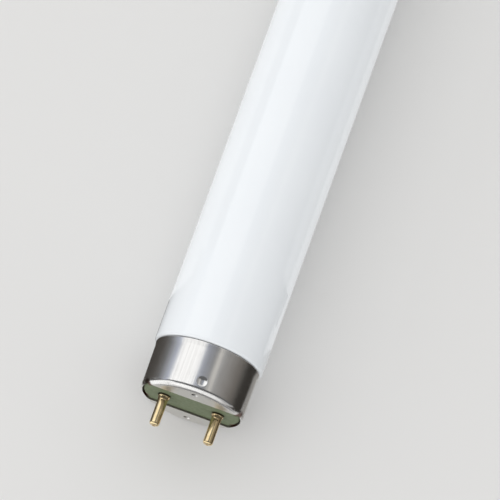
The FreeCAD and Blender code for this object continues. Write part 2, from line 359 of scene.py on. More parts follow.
def copied_across(piece: Piece, name: str, shift: float) -> Piece:
    """A copy of a piece that lies further along Y.

    Args:
        piece: The piece to copy.
        name: The copy's name.
        shift: How much further it lies.

    Returns:
        The copy, with its place in its mesh.
    """
    copy = copy_of(piece, name)
    bpy.ops.transform.translate(value=(0.0, shift, 0.0))
    settle(copy)
    return copy


def copied_to_left_end(piece: Piece, name: str) -> Piece:
    """A copy of a piece that is turned half round to the lamp's left end.

    Args:
        piece: The piece to copy.
        name: The copy's name.

    Returns:
        The copy, with its place in its mesh.
    """
    copy = copy_of(piece, name)
    bpy.ops.transform.rotate(value=math.pi, orient_axis="Y", center_override=ORIGIN)
    settle(copy)
    return copy


# Finishes


def bare_material(name: str) -> bpy.types.Material:
    """A new material with an empty node tree.

    Args:
        name: The material's name.

    Returns:
        The material.
    """
    made = bpy.data.materials.new(name)
    made.use_nodes = True
    made.node_tree.nodes.clear()
    return made


@dataclass
class ShaderBench:
    """Places and links the nodes of one node tree, whose effects read the given coordinates."""

    tree: bpy.types.NodeTree
    coordinates: Socket | None = None

    def place(self, kind: str, inputs: dict | None = None, **settings: object) -> bpy.types.Node:
        """Adds a node.

        Args:
            kind: The node's type.
            inputs: Its inputs by name or number, each an output to link or a value to set.
            settings: The node's own properties.

        Returns:
            The new node.
        """
        node = self.tree.nodes.new(kind)
        for name, setting in settings.items():
            setattr(node, name, setting)
        for name, given in (inputs or {}).items():
            if isinstance(given, Socket):
                self.tree.links.new(given, node.inputs[name])
            else:
                node.inputs[name].default_value = given
        return node

    def math(self, operation: str, first: object, second: object = 0.0) -> Socket:
        """The result of one sum on two values."""
        return self.place("ShaderNodeMath", {0: first, 1: second}, operation=operation).outputs[0]

    def vector(self, operation: str, first: object, second: object = ORIGIN) -> bpy.types.Node:
        """A sum on two vectors, as its node."""
        return self.place("ShaderNodeVectorMath", {0: first, 1: second}, operation=operation)

    def remap(
        self, value: Socket, low: object, high: object, to_low: float = 0.0, to_high: float = 1.0
    ) -> Socket:
        """A value moved from one range to another and kept within it."""
        return self.place("ShaderNodeMapRange", {
            "Value": value, "From Min": low, "From Max": high, "To Min": to_low, "To Max": to_high,
        }).outputs[0]

    def noise(self, vector: Socket, fineness: Socket, detail: float, roughness: float = 0.5) -> Socket:
        """The strength of a soft noise."""
        inputs = {"Vector": vector, "Scale": fineness, "Detail": detail, "Roughness": roughness}
        return self.place("ShaderNodeTexNoise", inputs).outputs[0]

    def blend(self, mask: Socket, first: object, second: object) -> Socket:
        """The first colour where a mask is 0, and the second where it is 1."""
        inputs = {"Factor": mask, 6: self.opaque(first), 7: self.opaque(second)}
        return self.place("ShaderNodeMix", inputs, data_type="RGBA").outputs[2]

    def opaque(self, colour: object) -> object:
        """A plain colour with its alpha, and any other input as it is."""
        return (*colour, 1.0) if isinstance(colour, tuple) and len(colour) == 3 else colour

    def effect(self, effect: "Effect", **values: float) -> Socket:
        """The mask of a shared effect.

        Args:
            effect: The effect.
            values: Its inputs by name, apart from the coordinates.

        Returns:
            The mask, from 0 to 1.
        """
        inputs = {"Coordinates": self.coordinates, **values}
        return self.place("ShaderNodeGroup", inputs, node_tree=effect.tree()).outputs["Mask"]


class Effect(Enum):
    """Effects that several finishes share, each a node group that puts out a mask."""

    DRAWN_LINES = "drawn_lines"
    CLOUDING = "clouding"
    FINE_MARKS = "fine_marks"
    END_FADE = "end_fade"
    CORNER_STAIN = "corner_patches"

    def tree(self) -> bpy.types.NodeTree:
        """The effect's node group, built when it is first asked for."""
        built = bpy.data.node_groups.get(self.value)
        return built if built else self.build()

    def inputs(self) -> tuple[str, ...]:
        """The names of the effect's own values."""
        return ("Start", "End") if self is Effect.END_FADE else ("Fineness",)

    def build(self) -> bpy.types.NodeTree:
        """Makes the effect's node group.

        Returns:
            The group, which reads coordinates and the effect's values.
        """
        group = bpy.data.node_groups.new(self.value, "ShaderNodeTree")
        group.interface.new_socket(name="Coordinates", in_out="INPUT", socket_type="NodeSocketVector")
        for name in self.inputs():
            group.interface.new_socket(name=name, in_out="INPUT", socket_type="NodeSocketFloat")
        group.interface.new_socket(name="Mask", in_out="OUTPUT", socket_type="NodeSocketFloat")
        bench = ShaderBench(group)
        given = bench.place("NodeGroupInput").outputs
        makers = {
            Effect.DRAWN_LINES: self.drawn_lines,
            Effect.CLOUDING: self.clouding,
            Effect.FINE_MARKS: self.fine_marks,
            Effect.END_FADE: self.end_fade,
            Effect.CORNER_STAIN: self.corner_patches,
        }
        bench.place("NodeGroupOutput", {"Mask": makers[self](bench, given)})
        return group

    @staticmethod
    def drawn_lines(bench: ShaderBench, given: Sockets) -> Socket:
        """Fine uneven lines along the lamp, as a draw die leaves them.

        Args:
            bench: Where the group's nodes are placed.
            given: The group's inputs by name.

        Returns:
            The mask.
        """
        squeeze = (0.02, 1.0, 1.0)
        stretched = bench.vector("MULTIPLY", given["Coordinates"], squeeze).outputs[0]
        return bench.remap(bench.noise(stretched, given["Fineness"], 3.0, 0.65), 0.3, 0.7)

    @staticmethod
    def clouding(bench: ShaderBench, given: Sockets) -> Socket:
        """Soft uneven patches."""
        return bench.remap(bench.noise(given["Coordinates"], given["Fineness"], 4.0, 0.55), 0.3, 0.7)

    @staticmethod
    def fine_marks(bench: ShaderBench, given: Sockets) -> Socket:
        """Scattered specks of handling, most of the surface being free of them.

        Args:
            bench: Where the group's nodes are placed.
            given: The group's inputs by name.

        Returns:
            The mask.
        """
        speck_size = 0.16
        cells = bench.place("ShaderNodeTexVoronoi", {
            "Vector": given["Coordinates"], "Scale": given["Fineness"], "Randomness": 1.0,
        })
        specks = bench.remap(cells.outputs["Distance"], 0.0, speck_size, 1.0, 0.0)
        patches = bench.noise(given["Coordinates"], given["Fineness"], 1.0)
        return bench.math("MULTIPLY", specks, bench.remap(patches, 0.5, 0.65))

    @staticmethod
    def end_fade(bench: ShaderBench, given: Sockets) -> Socket:
        """Rises from 0 to 1 between two distances from the lamp's middle."""
        along = bench.place("ShaderNodeSeparateXYZ", {0: given["Coordinates"]}).outputs["X"]
        return bench.remap(bench.math("ABSOLUTE", along), given["Start"], given["End"])

    @staticmethod
    def corner_patches(bench: ShaderBench, given: Sockets) -> Socket:
        """Ragged dark patches round the corners of the slots, up to 1.5 mm away.

        Args:
            bench: Where the group's nodes are placed.
            given: The group's inputs by name.

        Returns:
            The mask.
        """
        corner = (0.2944, 0.0108, 0.0043)
        solid, clear, raggedness = 1.05 * MM, 1.75 * MM, 0.5 * MM
        quadrant = bench.vector("ABSOLUTE", given["Coordinates"]).outputs[0]
        away = bench.vector("DISTANCE", quadrant, corner).outputs["Value"]
        ragged = bench.math("MULTIPLY", bench.noise(quadrant, given["Fineness"], 2.0), raggedness)
        return bench.remap(bench.math("ADD", away, ragged), solid, clear, 0.9, 0.0)


@dataclass(frozen=True)
class Finish:
    """A finish of one kind of surface, with its name and its least and greatest roughness."""

    name: str = "finish"
    polished: float = 0.3
    worn: float = 0.5

    def material(self) -> bpy.types.Material:
        """The finish's material, built when it is first asked for.

        Returns:
            The material.
        """
        built = bpy.data.materials.get(self.name)
        if built:
            return built
        made = bare_material(self.name)
        bench = ShaderBench(made.node_tree)
        bench.coordinates = bench.place("ShaderNodeTexCoord").outputs["Object"]
        shader = bench.place("ShaderNodeBsdfPrincipled", self.surface(bench))
        bench.place("ShaderNodeOutputMaterial", {"Surface": shader.outputs[0]})
        return made

    def surface(self, bench: ShaderBench) -> dict:
        """What feeds the shader.

        Args:
            bench: Where the finish's nodes are placed.

        Returns:
            The shader's inputs by name.
        """
        raise NotImplementedError

    def roughness(self, bench: ShaderBench, mask: Socket) -> Socket:
        """The roughness, from polished where a mask is 0 to worn where it is 1."""
        return bench.remap(mask, 0.0, 1.0, self.polished, self.worn)

    def relief(self, bench: ShaderBench, height: Socket, depth: float) -> Socket:
        """The normal of a surface with a fine relief of that depth."""
        inputs = {"Height": height, "Distance": depth, "Strength": 1.0}
        return bench.place("ShaderNodeBump", inputs).outputs[0]

    def dress(self, piece: Piece) -> None:
        """Gives a piece this finish all over.

        Args:
            piece: The piece to dress.
        """
        if not piece.material_slots:
            piece.data.materials.append(self.material())
        for slot in piece.material_slots:
            slot.material = self.material()


@dataclass(frozen=True)
class WhiteGlass(Finish):
    """White powder coat behind clear glass, with a crisp gloss."""

    name: str = "coated_glass"
    polished: float = 0.02
    worn: float = 0.1
    coat: Colour = (0.875, 0.905, 0.93)
    thin_coat: Colour = (0.855, 0.885, 0.912)

    def surface(self, bench: ShaderBench) -> dict:
        """A nearly even white, with faint patches in the coat and a few specks on the gloss."""
        clouds = bench.effect(Effect.CLOUDING, Fineness=60.0)
        marks = bench.effect(Effect.FINE_MARKS, Fineness=500.0)
        return {
            "Base Color": bench.blend(clouds, self.coat, self.thin_coat),
            "Roughness": self.roughness(bench, marks),
            "IOR": 1.5,
        }


@dataclass(frozen=True)
class DrawnMetal(Finish):
    """Drawn aluminium with lines along its side, a satin end face, painted shade in the dimples and dark
    red-brown slot corners.
    """

    name: str = "drawn_aluminium"
    polished: float = 0.15
    worn: float = 0.25
    bright: Colour = (0.80, 0.795, 0.785)
    dull: Colour = (0.69, 0.68, 0.665)
    line_depth: float = 0.8 * MICRON
    face: float = 0.2949
    satin_start: float = 0.12 * MM
    satin_full: float = 0.01 * MM
    satin: float = 0.2
    dry: Colour = (0.715, 0.704, 0.675)
    # painted shade: a dark colour that stands for the shade at the bottom of each dimple
    pit_shade: Colour = (0.09, 0.085, 0.075)
    pit_place: Place = (0.29435, -0.00015, 0.0091)
    pit_start: float = 0.84 * MM
    pit_dark: float = 0.72 * MM

    def surface(self, bench: ShaderBench) -> dict:
        """Uneven drawn lines, with a satin face, dark red-brown slot corners and painted shade inside the
        dimples.
        """
        lines = bench.effect(Effect.DRAWN_LINES, Fineness=2600.0)
        clouds = bench.effect(Effect.CLOUDING, Fineness=220.0)
        satin_start, satin_full = self.face - self.satin_start, self.face - self.satin_full
        on_face = bench.effect(Effect.END_FADE, Start=satin_start, End=satin_full)
        tone = bench.math("MULTIPLY", lines, clouds)
        metal = bench.blend(on_face, bench.blend(tone, self.bright, self.dull), self.dry)
        corner_mask = bench.effect(Effect.CORNER_STAIN, Fineness=CORNER_FINENESS)
        pit_shade_mask = self.pit_shade_mask(bench)
        side = self.roughness(bench, lines)
        satin = bench.math("MULTIPLY", on_face, self.satin)
        return {
            # the base colour lays the painted dimple shade over the metal and its dark corner patches
            "Base Color": bench.blend(pit_shade_mask, bench.blend(corner_mask, metal, CORNER_BROWN), self.pit_shade),
            "Metallic": 1.0,
            "Roughness": bench.math("ADD", side, satin),
            "Normal": self.relief(bench, lines, self.line_depth),
        }

    def pit_shade_mask(self, bench: ShaderBench) -> Socket:
        """Where shade is painted into the dimples' bottoms, alike in both crescents of both ends.

        Args:
            bench: Where the finish's nodes are placed.

        Returns:
            The mask, which is 1 where the painted shade is full, at the bottom of a dimple.
        """
        axes = bench.place("ShaderNodeSeparateXYZ", {0: bench.coordinates}).outputs
        along, height = [bench.math("ABSOLUTE", axes[axis]) for axis in ("X", "Z")]
        folded = bench.place("ShaderNodeCombineXYZ", {"X": along, "Y": axes["Y"], "Z": height}).outputs[0]
        away = bench.vector("DISTANCE", folded, self.pit_place).outputs["Value"]
        return bench.remap(away, self.pit_dark, self.pit_start, 1.0, 0.0)


@dataclass(frozen=True)
class CutEdge(Finish):
    """The punched sheet's cut edge, coloured dark: partly dull torn metal, partly painted shade of the shadow
    line between the plate and the sheet.
    """

    name: str = "punched_edge"
    polished: float = 0.45
    worn: float = 0.7
    # partly painted shade: the cut wall is coloured dark to stand for the shadow line between the plate and
    # the sheet
    torn_metal_and_shade: Colour = (0.20, 0.18, 0.16)
    burr: Colour = (0.36, 0.34, 0.32)

    def surface(self, bench: ShaderBench) -> dict:
        """Dark metal with brighter torn streaks, the dark being partly painted shade."""
        streaks = bench.effect(Effect.DRAWN_LINES, Fineness=4200.0)
        corner_mask = bench.effect(Effect.CORNER_STAIN, Fineness=CORNER_FINENESS)
        return {
            "Base Color": bench.blend(corner_mask, bench.blend(streaks, self.torn_metal_and_shade, self.burr), CORNER_BROWN),
            "Metallic": 1.0,
            "Roughness": self.roughness(bench, streaks),
        }


@dataclass(frozen=True)
class Board(Finish):
    """Grey-green pressed board, with fibre in its face and a brown edge."""

    name: str = "pressed_board"
    polished: float = 0.55
    worn: float = 0.75
    face: Colour = (0.156, 0.190, 0.110)
    fibre: Colour = (0.131, 0.162, 0.092)
    fibre_depth: float = 8.0 * MICRON
    edge: Colour = (0.10, 0.045, 0.027)
    edge_start: float = 11.3 * MM
    edge_end: float = 11.55 * MM

    def surface(self, bench: ShaderBench) -> dict:
        """Mottled fibre, browner towards the rim and at the slot's corners."""
        fibre = bench.effect(Effect.CLOUDING, Fineness=1400.0)
        patches = bench.effect(Effect.CLOUDING, Fineness=260.0)
        tone = bench.math("MULTIPLY", fibre, patches)
        across = bench.vector("MULTIPLY", bench.coordinates, (0.0, 1.0, 1.0)).outputs[0]
        radius = bench.vector("LENGTH", across).outputs["Value"]
        rim = bench.remap(radius, self.edge_start, self.edge_end)
        corner_mask = bench.effect(Effect.CORNER_STAIN, Fineness=CORNER_FINENESS)
        brown = bench.math("MAXIMUM", rim, corner_mask)
        return {
            "Base Color": bench.blend(brown, bench.blend(tone, self.face, self.fibre), self.edge),
            "Roughness": self.roughness(bench, fibre),
            "Normal": self.relief(bench, fibre, self.fibre_depth),
        }


@dataclass(frozen=True)
class Brass(Finish):
    """Turned and handled brass, with drawn lines and darker patches."""

    name: str = "handled_brass"
    polished: float = 0.06
    worn: float = 0.15
    bright: Colour = (0.90, 0.73, 0.43)
    tarnish: Colour = (0.60, 0.44, 0.21)
    # painted shade: a dark ring round the pin's base, standing for the shadow between the collar and the
    # plate
    pin_base_shade: Colour = (0.10, 0.07, 0.035)
    line_depth: float = 0.6 * MICRON
    shaft_start: float = 0.2962 - 1.0 * MM
    shaft_end: float = 0.2962 + 1.5 * MM
    shaft_tarnish: float = 0.55
    pin_base_shade_end: float = 0.2948
    unshaded_start: float = 0.2948 + 0.25 * MM
    lacquer: float = 0.6
    lacquer_roughness: float = 0.1

    def surface(self, bench: ShaderBench) -> dict:
        """Lines along the pin, more tarnish near the plate, and painted shade round the pin's base where it
        meets the plate.
        """
        lines = bench.effect(Effect.DRAWN_LINES, Fineness=5200.0)
        clouds = bench.effect(Effect.CLOUDING, Fineness=700.0)
        shaft = bench.effect(Effect.END_FADE, Start=self.shaft_start, End=self.shaft_end)
        handled = bench.math("MULTIPLY", clouds, bench.remap(shaft, 0.0, 1.0, 1.0, self.shaft_tarnish))
        # unshaded rises from 0 in the painted base shade to 1 up the collar
        unshaded = bench.effect(Effect.END_FADE, Start=self.pin_base_shade_end, End=self.unshaded_start)
        return {
            "Base Color": bench.blend(unshaded, self.pin_base_shade, bench.blend(handled, self.bright, self.tarnish)),
            "Metallic": 1.0,
            "Roughness": self.roughness(bench, lines),
            "Normal": self.relief(bench, lines, self.line_depth),
            "Coat Weight": self.lacquer,
            "Coat Roughness": self.lacquer_roughness,
        }


@dataclass(frozen=True)
class Cement(Finish):
    """Dull basing cement with fine grains."""

    name: str = "basing_cement"
    polished: float = 0.75
    worn: float = 0.95
    paste: Colour = (0.46, 0.40, 0.31)
    grain: Colour = (0.34, 0.28, 0.21)
    grain_depth: float = 20.0 * MICRON

    def surface(self, bench: ShaderBench) -> dict:
        """Grainy paste."""
        grains = bench.effect(Effect.FINE_MARKS, Fineness=1800.0)
        clouds = bench.effect(Effect.CLOUDING, Fineness=900.0)
        return {
            "Base Color": bench.blend(bench.math("MAXIMUM", grains, clouds), self.paste, self.grain),
            "Roughness": self.roughness(bench, clouds),
            "Normal": self.relief(bench, clouds, self.grain_depth),
        }


@dataclass(frozen=True)
class Wire(Finish):
    """Bare drawn lead-in wire."""

    name: str = "lead_in_wire"
    polished: float = 0.25
    worn: float = 0.45
    bright: Colour = (0.62, 0.60, 0.57)
    dull: Colour = (0.42, 0.39, 0.36)

    def surface(self, bench: ShaderBench) -> dict:
        """Drawn lines with duller patches."""
        lines = bench.effect(Effect.DRAWN_LINES, Fineness=9000.0)
        clouds = bench.effect(Effect.CLOUDING, Fineness=600.0)
        return {
            "Base Color": bench.blend(clouds, self.bright, self.dull),
            "Metallic": 1.0,
            "Roughness": self.roughness(bench, lines),
        }


@dataclass(frozen=True)
class PaleFloor(Finish):
    """Plain pale floor with a barely uneven tone."""

    name: str = "pale_floor"
    polished: float = 0.7
    worn: float = 0.8
    pale: Colour = (0.78, 0.775, 0.765)
    shade: Colour = (0.765, 0.76, 0.75)

    def surface(self, bench: ShaderBench) -> dict:
        """Broad faint patches."""
        clouds = bench.effect(Effect.CLOUDING, Fineness=2.0)
        return {
            "Base Color": bench.blend(clouds, self.pale, self.shade),
            "Roughness": self.roughness(bench, clouds),
            "Specular IOR Level": 0.1,
        }


# Pieces


def hand_over(piece: Piece, node: str) -> None:
    """Puts a finished piece in its CAD node's place.

    Args:
        piece: The finished and dressed piece.
        node: The CAD node that it stands for.
    """
    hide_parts(node)
    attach(piece, "root")
    LOG.info("%s stands for %s: %d faces", piece.name, node, len(piece.data.polygons))


@dataclass
class GlassTube:
    """The sealed white glass, with a neck and a drawn-in stem at each end."""

    wall: float = 0.6 * MM
    shoulder_radius: float = 0.8 * MM
    shoulder_gap: float = 0.1 * MM
    bead_radius: float = 0.5 * MM
    seal_depth: float = 1.1 * MM
    flare_depth: float = 7.0 * MM
    stem_length: float = 22.0 * MM
    stem_radius: float = 3.8 * MM
    stem_wall: float = 1.0 * MM
    press_thickness: float = 3.0 * MM
    ring_spacing: float = 25.0 * MM
    outer_steps: int = 288
    inner_steps: int = 96
    round_steps: int = 8
    neck_steps: int = 4
    stem_steps: int = 4
    radius: float = field(init=False)
    neck_end: float = field(init=False)
    neck_radius: float = field(init=False)
    shoulder: float = field(init=False)

    def __post_init__(self) -> None:
        """Reads the glass's reach from the frame."""
        self.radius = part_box("glass_tube")[1].y
        self.neck_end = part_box("glass_tube")[1].x
        self.neck_radius = self.inner_radius_of_cement()
        self.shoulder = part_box("right_cap")[0].x - self.shoulder_gap

    def inner_radius_of_cement(self) -> float:
        """The neck's radius, which is where the cement ring begins."""
        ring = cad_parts["right_cement"].data.vertices
        return min(radius_of(vertex.co) for vertex in ring)

    def outside(self) -> Outline:
        """The right half of the outer section, from the middle of the lamp to the end of the stem.

        Returns:
            The section's points in order.
        """
        shoulder_start = self.shoulder - self.shoulder_radius
        shoulder_side = self.radius - self.shoulder_radius
        bead_start = self.neck_end - self.bead_radius
        bead_middle = self.neck_radius - self.bead_radius
        stem_start = self.neck_end - self.flare_depth
        press_face = self.neck_end - self.stem_length
        rings = round(shoulder_start / self.ring_spacing)
        return [
            *line((0.0, self.radius), (shoulder_start, self.radius), rings)[:-1],
            *arc((shoulder_start, shoulder_side), self.shoulder_radius, 90.0, 0.0, self.round_steps),
            *line((self.shoulder, self.neck_radius), (bead_start, self.neck_radius), self.neck_steps)[:-1],
            *arc((bead_start, bead_middle), self.bead_radius, 90.0, -90.0, self.round_steps),
            *line((stem_start, self.stem_radius), (press_face, self.stem_radius), self.stem_steps),
            Vector((press_face, 0.0, 0.0)),
        ]

    def inside(self) -> Outline:
        """The right half of the hollow's section, from the middle of the lamp to the back of the press.

        Returns:
            The section's points in order.
        """
        bore = self.radius - self.wall
        back = self.shoulder - self.wall
        neck_bore = self.neck_radius - self.wall
        seal = self.neck_end - self.bead_radius - self.seal_depth
        flare = self.neck_end - self.flare_depth - self.stem_wall / 2.0
        stem = self.stem_radius + self.stem_wall
        press = self.neck_end - self.stem_length - self.press_thickness
        return [
            *line((0.0, bore), (back, bore)),
            *line((back, neck_bore), (seal, neck_bore)),
            *line((flare, stem), (press, stem)),
            Vector((press, 0.0, 0.0)),
        ]

    def build(self) -> Piece:
        """Turns the glass and its hollow, and joins them.

        Returns:
            The glass as one piece.
        """
        outside, inside = self.outside(), self.inside()
        glass = lathe("glass_envelope", [*mirrored(outside)[:-1], *outside], self.outer_steps)
        hollow = lathe("glass_hollow", [*mirrored(inside)[:-1], *inside], self.inner_steps, inwards=True)
        take_up(glass)
        hollow.select_set(True)
        bpy.ops.object.join()
        smooth(glass)
        return glass

    def fit(self) -> None:
        """Builds and dresses the glass."""
        glass = self.build()
        WhiteGlass().dress(glass)
        hand_over(glass, "glass_tube")


@dataclass
class EndCap:
    """The drawn metal cup: a flared rim, a slot across the end, and punched dimples and dents."""

    wall: float = 0.45 * MM
    flare: float = 0.15 * MM
    flare_length: float = 1.3 * MM
    lip_radius: float = 0.12 * MM
    corner_radius: float = 1.5 * MM
    slot_half: float = 5.45 * MM
    slot_rim: float = 0.45 * MM
    slot_fillet: float = 2.0 * MM
    slot_edge: float = 0.12 * MM
    dimple_inset: float = 3.0 * MM
    dimple_depth: float = 0.6 * MM
    dimple_ball: float = 0.8 * MM
    dent_depth: float = 0.3 * MM
    dent_ball: float = 2.75 * MM
    dent_from_face: float = 2.794 * MM
    dent_shift: float = 0.6 * MM
    sharp_angle: float = 50.0
    sheet_step: float = 0.17 * MM
    steps: int = 360
    flare_steps: int = 6
    corner_steps: int = 18
    slot_end_steps: int = 16
    slot_fillet_steps: int = 12
    punch_cuts: int = 2
    rim: float = field(init=False)
    face: float = field(init=False)
    radius: float = field(init=False)

    def __post_init__(self) -> None:
        """Reads the cap's reach from the frame."""
        low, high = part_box("right_cap")
        self.rim, self.face = low.x, high.x
        self.radius = high.y - self.flare

    def skin(self) -> Outline:
        """The outer skin's section, from the open rim round the corner to inside the slot.

        Returns:
            The section's points in order.
        """
        corner = (self.face - self.corner_radius, self.radius - self.corner_radius)
        flare_start = self.rim + self.wall * self.flare / self.flare_length
        flare_end = self.rim + self.flare_length
        side_steps = round((corner[0] - flare_end) / self.sheet_step)
        inner = self.slot_half - self.sheet_step
        face_steps = round((corner[1] - inner) / self.sheet_step)
        return [
            *line((flare_start, self.radius + self.flare), (flare_end, self.radius), self.flare_steps)[:-1],
            *line((flare_end, self.radius), (corner[0], self.radius), side_steps)[:-1],
            *arc(corner, self.corner_radius, 90.0, 0.0, self.corner_steps)[:-1],
            *line((self.face, corner[1]), (self.face, inner), face_steps),
        ]

    def slot_outline(self) -> Outline:
        """The slot's outline, once round: straight sides, round ends and rounded corners.

        Returns:
            The outline's points in order.
        """
        reach = self.radius - self.slot_rim
        height = self.slot_half - self.slot_fillet
        across = math.sqrt((reach - self.slot_fillet) ** 2 - height**2)
        turn = math.degrees(math.atan2(height, across))
        quarter = [
            *arc((0.0, 0.0), reach, 0.0, turn, self.slot_end_steps)[:-1],
            *arc((across, height), self.slot_fillet, turn, 90.0, self.slot_fillet_steps),
        ]
        half = [*quarter, *mirrored(quarter)[:-1]]
        start = self.face - self.corner_radius
        return [Vector((start, side * point.x, side * point.z)) for side in BOTH_SIDES for point in half]

    def slot_cutter(self) -> Piece:
        """A block in the slot's form, whose faces carry the punched edge's finish.

        Returns:
            The block.
        """
        cutter = draw("slot_cutter", self.slot_outline())
        DrawnMetal().dress(cutter)
        cutter.data.materials.append(CutEdge().material())
        cutter.active_material_index = 1
        through = (2.0 * self.corner_radius, 0.0, 0.0)
        with editing(cutter, "VERT"):
            bpy.ops.mesh.select_all(action="SELECT")
            bpy.ops.mesh.edge_face_add()
            bpy.ops.mesh.extrude_region_move(TRANSFORM_OT_translate={"value": through})
            bpy.ops.mesh.select_all(action="SELECT")
            bpy.ops.mesh.normals_make_consistent(inside=False)
            bpy.ops.object.material_slot_assign()
        return cutter

    def punch(self, cup: Piece) -> None:
        """Presses a dimple into each half of the end face and a dent into each side behind it.

        Args:
            cup: The cap.
        """
        for side in BOTH_SIDES:
            dimple = Vector((self.face, 0.0, side * (self.radius - self.dimple_inset)))
            self.strike(cup, dimple, Vector(LAMP_AXIS), self.dimple_ball, self.dimple_depth, Punch.STEEP)
            ball = Vector((0.0, self.dent_shift, side * (self.radius - self.dent_depth + self.dent_ball)))
            outward = ball.normalized()
            dent = self.radius * outward + (self.face - self.dent_from_face) * Vector(LAMP_AXIS)
            depth = self.radius + self.dent_ball - ball.length
            self.strike(cup, dent, outward, self.dent_ball, depth, Punch.ROUND)

    def strike(
        self, cup: Piece, place: Vector, outward: Vector, ball: float, depth: float, form: Punch
    ) -> None:
        """Presses one mark through both sides of the sheet, wider behind by the sheet's thickness.

        Args:
            cup: The cap.
            place: The middle of the mark on the outside.
            outward: The way that the outside faces there.
            ball: The punch's radius.
            depth: The mark's depth.
            form: How the mark falls off on the outside.
        """
        sides = [
            (behind, side_form, math.sqrt((ball + behind) ** 2 - (ball + behind - depth) ** 2))
            for behind, side_form in ((0.0, form), (self.wall, Punch.ROUND))
        ]
        widest = max(reach for _, _, reach in sides)
        with editing(cup, "FACE"):
            pick_faces(cup, lambda middle: (middle - place).length < widest + self.wall / 2.0)
            bpy.ops.mesh.subdivide(number_cuts=self.punch_cuts)
        for behind, side_form, reach in sides:
            press_in(cup, place - behind * outward, -depth * outward, reach, side_form)

    def thicken(self, cup: Piece) -> None:
        """Gives the skin its sheet thickness, inwards, and its cut edges their own finish.

        Args:
            cup: The cap's skin.
        """
        DrawnMetal().dress(cup)
        cup.data.materials.append(CutEdge().material())
        take_up(cup)
        sheet = cup.modifiers.new("sheet", "SOLIDIFY")
        sheet.thickness = self.wall
        sheet.offset = -1.0
        sheet.use_even_offset = True
        sheet.use_quality_normals = True
        sheet.material_offset_rim = 1
        bpy.ops.object.modifier_apply(modifier=sheet.name)

    def build(self) -> Piece:
        """Makes the right cap.

        Returns:
            The cap as one piece.
        """
        cup = lathe("right_cap_cup", self.skin(), self.steps)
        self.thicken(cup)
        cut_away(cup, self.slot_cutter())
        lip_end = self.rim + self.lip_radius
        slot_start = lip_end + self.corner_radius
        ease_edges(cup, self.sharp_angle, self.lip_radius, lambda middle: middle.x < lip_end)
        ease_edges(cup, self.sharp_angle, self.slot_edge, lambda middle: middle.x > slot_start)
        self.punch(cup)
        smooth(cup)
        return cup

    def fit(self) -> None:
        """Builds the right cap and copies it to the left end."""
        cup = self.build()
        hand_over(copied_to_left_end(cup, "left_cap_cup"), "left_cap")
        hand_over(cup, "right_cap")


@dataclass
class EndPlate:
    """The round insulating plate behind the slot, with two pin holes and seats for the cap's dimples."""

    rounding: float = 1.05 * MM
    hole_clearance: float = 0.01 * MM
    pin_radius: float = 1.175 * MM
    edge: float = 0.05 * MM
    seat_ball: float = 1.28 * MM
    seat_ahead: float = 0.65 * MM
    seat_height: float = 9.1 * MM
    sharp_angle: float = 30.0
    crisp_angle: float = 25.0
    steps: int = 192
    rounding_steps: int = 12
    hole_steps: int = 64
    seat_steps: int = 48
    back: float = field(init=False)
    front: float = field(init=False)
    radius: float = field(init=False)
    pin_side: float = field(init=False)

    def __post_init__(self) -> None:
        """Reads the plate's reach and its pins' places from the frame."""
        low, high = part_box("right_plate")
        self.back, self.front, self.radius = low.x, high.x, high.y
        pin_low, pin_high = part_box("right_pin_rear")
        self.pin_side = (pin_low.y + pin_high.y) / 2.0

    def section(self) -> Outline:
        """The plate's half section, from the middle of its back to the middle of its front.

        Returns:
            The section's points in order.
        """
        edge = (self.front - self.rounding, self.radius - self.rounding)
        return [
            *line((self.back, 0.0), (self.back, self.radius)),
            *arc(edge, self.rounding, 90.0, 0.0, self.rounding_steps),
            Vector((self.front, 0.0, 0.0)),
        ]

    def pin_cutter(self, across: float) -> Piece:
        """A rod that cuts one pin hole.

        Args:
            across: The hole's place along Y.

        Returns:
            The rod.
        """
        return add_new(
            "pin_cutter",
            bpy.ops.mesh.primitive_cylinder_add,
            vertices=self.hole_steps,
            radius=self.pin_radius + self.hole_clearance,
            depth=4.0 * (self.front - self.back),
            location=(self.front, across, 0.0),
            rotation=(0.0, math.pi / 2.0, 0.0),
        )

    def seat_cutter(self, height: float) -> Piece:
        """A ball that cuts the seat of one dimple.

        Args:
            height: The seat's place along Z.

        Returns:
            The ball.
        """
        return add_new(
            "seat_cutter",
            bpy.ops.mesh.primitive_uv_sphere_add,
            segments=self.seat_steps,
            ring_count=self.seat_steps // 2,
            radius=self.seat_ball,
            location=(self.front + self.seat_ahead, 0.0, height),
        )

    def build(self) -> Piece:
        """Makes the right plate.

        Returns:
            The plate as one piece.
        """
        plate = lathe("right_plate_board", self.section(), self.steps)
        for side in BOTH_SIDES:
            cut_away(plate, self.pin_cutter(side * self.pin_side))
            cut_away(plate, self.seat_cutter(side * self.seat_height))
        ease_edges(plate, self.sharp_angle, self.edge)
        smooth(plate, self.crisp_angle)
        return plate

    def fit(self) -> None:
        """Builds and dresses the right plate, and copies it to the left end."""
        plate = self.build()
        Board().dress(plate)
        hand_over(copied_to_left_end(plate, "left_plate_board"), "left_plate")
        hand_over(plate, "right_plate")


